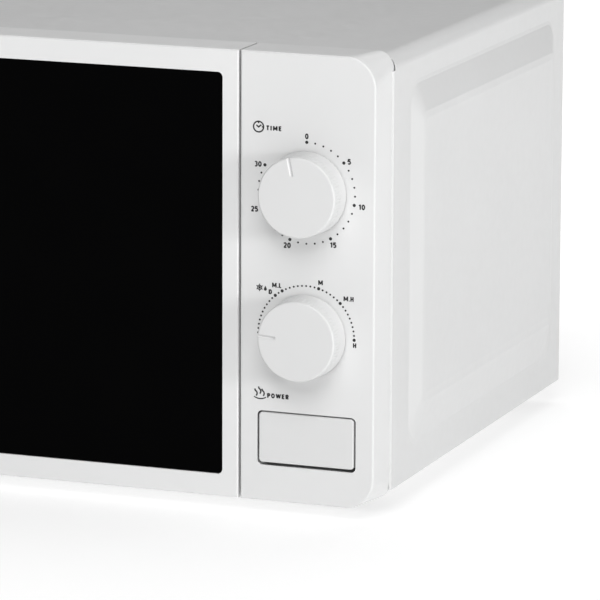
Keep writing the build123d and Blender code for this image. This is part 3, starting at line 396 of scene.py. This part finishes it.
# Each letter's width and its lines, in letter heights
GLYPHS = {
    "0": (0.60, [arc((0.30, 0.5), 0.23, 0.42)]),
    "1": (0.42, [[(0.28, 1.0), (0.28, 0.0)], [(0.04, 0.72), (0.28, 0.90)]]),
    "2": (0.60, [arc((0.29, 0.68), 0.22, 0.24, 160, -30, 8) + [(0.12, 0.10)], [(0.04, 0.08), (0.56, 0.08)]]),
    "3": (0.60, [arc((0.27, 0.71), 0.21, 0.21, 140, -80, 8), arc((0.27, 0.29), 0.24, 0.22, 80, -140, 8)]),
    "5": (0.60, [[(0.52, 0.92), (0.14, 0.92), (0.10, 0.52)] + arc((0.28, 0.34), 0.23, 0.26, 110, -145, 8)]),
    "D": (
        0.66,
        [
            [(0.10, 0.08), (0.10, 0.92), (0.26, 0.92)]
            + arc((0.28, 0.5), 0.28, 0.42, 85, -85, 8)
            + [(0.10, 0.08)]
        ],
    ),
    "E": (0.56, [[(0.52, 0.92), (0.10, 0.92), (0.10, 0.08), (0.52, 0.08)], [(0.10, 0.5), (0.46, 0.5)]]),
    "H": (0.66, [[(0.10, 0), (0.10, 1)], [(0.56, 0), (0.56, 1)], [(0.10, 0.5), (0.56, 0.5)]]),
    "I": (0.20, [[(0.10, 0), (0.10, 1)]]),
    "L": (0.52, [[(0.10, 1), (0.10, 0.08), (0.50, 0.08)]]),
    "M": (
        1.00,
        [
            [(0.12, 0), (0.12, 1)],
            [(0.88, 0), (0.88, 1)],
            [(0.14, 0.94), (0.50, 0.20)],
            [(0.50, 0.20), (0.86, 0.94)],
        ],
    ),
    "O": (0.74, [arc((0.37, 0.5), 0.29, 0.42)]),
    "P": (0.60, [STEM]),
    "R": (0.62, [STEM, [(0.28, 0.44), (0.56, 0.0)]]),
    "T": (0.60, [[(0.0, 0.92), (0.60, 0.92)], [(0.30, 0.92), (0.30, 0)]]),
    "W": (
        1.10,
        [
            [(0.06, 1), (0.30, 0.06)],
            [(0.30, 0.06), (0.55, 0.94)],
            [(0.55, 0.94), (0.80, 0.06)],
            [(0.80, 0.06), (1.04, 1)],
        ],
    ),
    ".": (0.16, [[(0.08, 0.0), (0.08, 0.16)]]),
}


def lettering(bm, text, x, z, height, weight=0.27, spacing=0.20):
    """A word or number in plain strokes, centred on a point of the panel.

    The strokes' weight and the spacing are in letter heights.
    """
    total = sum(GLYPHS[letter][0] for letter in text) + spacing * (len(text) - 1)
    left = x - total * height / 2
    for letter in text:
        width, lines = GLYPHS[letter]
        for line in lines:
            closed = line[0] == line[-1] or letter in "0O"
            points = [(left + a * height, z + (b - 0.5) * height) for a, b in line]
            band(bm, points[:-1] if closed else points, weight * height, closed)
        left += (width + spacing) * height


def around(at, degrees, radius):
    """A point on a dial's scale, clockwise from the top."""
    turn = math.radians(degrees)
    return at.x + radius * math.sin(turn), at.z + radius * math.cos(turn)


def printed(name, draw):
    """One print of the control panel, in ink."""
    bm = bmesh.new()
    draw(bm)
    bmesh.ops.remove_doubles(bm, verts=bm.verts, dist=1e-7)
    piece(name, bm, "chassis", INK)


SCALE_R = 28.2 * MM
SMALL_DOT, LARGE_DOT = 0.56 * MM, 0.92 * MM
NUMBER_HEIGHT, LETTER_HEIGHT, WORD_HEIGHT = 2.9 * MM, 2.6 * MM, 2.5 * MM


def time_scale(bm):
    """Minutes 0 to 30 round the upper dial, 10 degrees a minute."""
    # Each number's place from the dial's middle, in millimetres
    numbers = {
        0: (0.0, 31.5),
        5: (24.8, 19.0),
        10: (32.2, -5.6),
        15: (15.7, -27.8),
        20: (-11.3, -29.8),
        25: (-30.5, -10.8),
        30: (-28.5, 14.4),
    }
    for minute in range(31):
        dot(bm, *around(TIME_AT, minute * 10, SCALE_R), LARGE_DOT if minute in numbers else SMALL_DOT)
    for minute, (x, z) in numbers.items():
        lettering(bm, str(minute), TIME_AT.x + x * MM, TIME_AT.z + z * MM, NUMBER_HEIGHT, spacing=0.18)


def power_scale(bm):
    """Five marks over the lower dial's half turn, with small dots between them."""
    # At each mark's angle, its letters and their place from the dial's middle, in millimetres
    labels = {
        -40: ("D", -21.0, 23.4),
        -30: ("M.L", -17.3, 27.3),
        15: ("M", 8.4, 30.7),
        45: ("M.H", 24.8, 22.8),
        90: ("H", 28.5, -3.0),
    }
    for degrees in range(-90, 91, 5):
        dot(bm, *around(POWER_AT, degrees, SCALE_R), LARGE_DOT if degrees in labels else SMALL_DOT)
    for text, x, z in labels.values():
        lettering(bm, text, POWER_AT.x + x * MM, POWER_AT.z + z * MM, LETTER_HEIGHT)


def drawn(bm, origin, at, lines, width):
    """Lines of a small sign, in millimetres from its place beside a dial."""
    for line in lines:
        closed = line[0] == line[-1]
        points = [(origin.x + (at[0] + x) * MM, origin.z + (at[1] + z) * MM) for x, z in line]
        band(bm, points[:-1] if closed else points, width * MM, closed)


def circle(radius, steps=32):
    points = arc((0, 0), radius, radius, steps=steps)
    return points[:-1] + points[:1]


def clock(bm):
    """A small clock face and its word, above the upper dial."""
    at = (-28.2, 35.1)
    drawn(bm, TIME_AT, at, [circle(2.95)], 0.8)
    drawn(bm, TIME_AT, at, [[(-1.3, 0.9), (0.0, -0.2), (1.6, 1.1)]], 0.8)
    drawn(bm, TIME_AT, at, [[(0, 2.7), (0, 1.9)], [(2.7, 0), (1.9, 0)]], 0.8)
    place_x, place_z = TIME_AT.x - 19.2 * MM, TIME_AT.z + 34.7 * MM
    lettering(bm, "TIME", place_x, place_z, WORD_HEIGHT, weight=0.31, spacing=0.38)


def bowl(bm):
    """A steaming dish and its word, below the lower dial."""
    wisp = [(-0.9, 2.1), (-0.7, 1.3), (0.2, 0.4), (0.5, -0.4), (0.3, -1.2), (-0.1, -1.9)]
    for at in ((-29.2, -34.0), (-27.0, -32.7), (-25.0, -33.8)):
        drawn(bm, POWER_AT, at, [wisp], 0.85)
    rim = arc((0, 3.4), 5.6, 4.4, 232, 308)
    underside = arc((0, 3.9), 6.0, 5.6, 308, 232)
    outline = [(POWER_AT.x + (x - 27.0) * MM, POWER_AT.z + (z - 36.0) * MM) for x, z in rim + underside]
    prism(bm, outline)
    place_x, place_z = POWER_AT.x - 16.4 * MM, POWER_AT.z - 35.2 * MM
    lettering(bm, "POWER", place_x, place_z, WORD_HEIGHT, weight=0.30, spacing=0.34)


def defrost(bm):
    """A frost star and a drop beside the lowest marks."""
    star_at = (-27.4, 25.4)
    star = [arc((0, 0), 2.1, 2.1, turn, turn + 180, 1) for turn in (30, 90, 150)]
    drawn(bm, POWER_AT, star_at, star, 0.5)
    drawn(bm, POWER_AT, star_at, [circle(1.35, 6)], 0.4)
    drop = [(0, 1.6), (-0.6, 0.4)] + arc((0, -0.4), 0.85, 0.85, 165, 375) + [(0.6, 0.4)]
    prism(bm, [(POWER_AT.x + (x - 24.0) * MM, POWER_AT.z + (z + 25.0) * MM) for x, z in drop])


printed("time_scale_print", time_scale)
printed("power_scale_print", power_scale)
printed("clock_print", clock)
printed("steam_print", bowl)
printed("defrost_print", defrost)


def screen():
    """The door's screen: a steel sheet punched with a close square pattern of round holes."""
    low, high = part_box("door_screen")
    pitch, hole, border = 5.0 * MM, 1.75 * MM, 7 * MM
    bm = bmesh.new()
    columns = int((high.x - low.x - 2 * border) / pitch)
    rows = int((high.z - low.z - 2 * border) / pitch)
    first = Vector(((low.x + high.x - columns * pitch) / 2, (low.z + high.z - rows * pitch) / 2))
    last = first + Vector((columns, rows)) * pitch
    shared = {}

    def point(x, z, y):
        key = (round(x, 7), round(z, 7), y)
        if key not in shared:
            shared[key] = bm.verts.new((x, y, z))
        return shared[key]

    faces = (low.y, high.y)

    def wall(first_spot, next_spot):
        """A face through the sheet's thickness between two spots."""
        corners = ((first_spot, 0), (next_spot, 0), (next_spot, 1), (first_spot, 1))
        bm.faces.new([point(*spot, faces[side]) for spot, side in corners])

    edge = ((1, 0), (1, 1), (0, 1), (-1, 1), (-1, 0), (-1, -1), (0, -1), (1, -1))
    for column in range(columns):
        for row in range(rows):
            x, z = first.x + (column + 0.5) * pitch, first.y + (row + 0.5) * pitch
            cell = [(x + a * pitch / 2, z + b * pitch / 2) for a, b in edge]
            round_hole = arc((x, z), hole, hole, steps=8)[:-1]
            for k in range(8):
                j = (k + 1) % 8
                for y in faces:
                    corners = (cell[k], cell[j], round_hole[j], round_hole[k])
                    bm.faces.new([point(*spot, y) for spot in corners])
                wall(round_hole[k], round_hole[j])
    # Plain border, in strips that meet the pattern's own edge points
    half = pitch / 2
    ring = [(first.x + i * half, first.y) for i in range(2 * columns)]
    ring += [(last.x, first.y + i * half) for i in range(2 * rows)]
    ring += [(last.x - i * half, last.y) for i in range(2 * columns)]
    ring += [(first.x, last.y - i * half) for i in range(2 * rows)]
    middle = (first + last) / 2
    grow_x, grow_z = (high.x - low.x) / (last.x - first.x), (high.z - low.z) / (last.y - first.y)
    rim = [(middle.x + (x - middle.x) * grow_x, middle.y + (z - middle.y) * grow_z) for x, z in ring]
    for i in range(len(ring)):
        j = (i + 1) % len(ring)
        for y in faces:
            bm.faces.new([point(*spot, y) for spot in (ring[i], ring[j], rim[j], rim[i])])
        wall(rim[i], rim[j])
    made = piece("door_screen_perforated", bm, "door", MATERIALS["cavity_enamel"])
    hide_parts("door_screen")


screen()


def seam():
    """The painted bead that closes the seam between the cabinet's rolled edge and the control panel."""
    low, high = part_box("outer_cabinet")
    top = high.z - 9 * MM
    inner, outer = PANEL_HIGH.x + 0.01 * MM, PANEL_HIGH.x + 0.99 * MM
    section = [(inner, 25.90), (outer, 26.65), (outer, 27.20), (inner, 27.20)]
    bm = bmesh.new()
    ends = [[bm.verts.new((x, FRONT + depth * MM, z)) for x, depth in section] for z in (low.z, top)]
    for k in range(4):
        j = (k + 1) % 4
        bm.faces.new((ends[0][k], ends[0][j], ends[1][j], ends[1][k]))
    bm.faces.new(ends[0])
    bm.faces.new(ends[1][::-1])
    piece("cabinet_seam_bead", bm, "chassis", MATERIALS["white_enamel"])


seam()


def coil(name, node_name, body, radius, wire, turns, axis):
    """A wound spring that stands for its CAD helix."""
    low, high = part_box(node_name)
    middle = (low + high) / 2
    start = low[axis] + wire / 2
    length = high[axis] - low[axis] - wire
    steps, sides = 24 * turns, 10
    others = [i for i in range(3) if i != axis]
    bm = bmesh.new()
    rows = []
    for i in range(steps + 1):
        t = i / steps
        angle = 2 * math.pi * turns * t
        rise = start + length * t
        row = []
        for k in range(sides):
            around_wire = 2 * math.pi * k / sides
            r = radius + wire / 2 * math.cos(around_wire)
            point = Vector((0, 0, 0))
            point[others[0]] = middle[others[0]] + r * math.cos(angle)
            point[others[1]] = middle[others[1]] + r * math.sin(angle)
            point[axis] = rise + wire / 2 * math.sin(around_wire)
            row.append(bm.verts.new(point))
        rows.append(row)
    for a, b in zip(rows, rows[1:]):
        for k in range(sides):
            j = (k + 1) % sides
            bm.faces.new((a[k], a[j], b[j], b[k]))
    bm.faces.new(rows[0])
    bm.faces.new(rows[-1][::-1])
    made = piece(name, bm, body, MATERIALS["zinc_steel"], smooth=True)
    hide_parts(node_name)
    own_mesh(made)


Y, Z = 1, 2
coil(
    "latch_spring_coil", "latch_spring", "door",
    radius=2.6 * MM, wire=0.6 * MM, turns=9, axis=Z,
)
coil(
    "button_spring_coil", "button_spring", "chassis",
    radius=3.4 * MM, wire=0.7 * MM, turns=6, axis=Y,
)
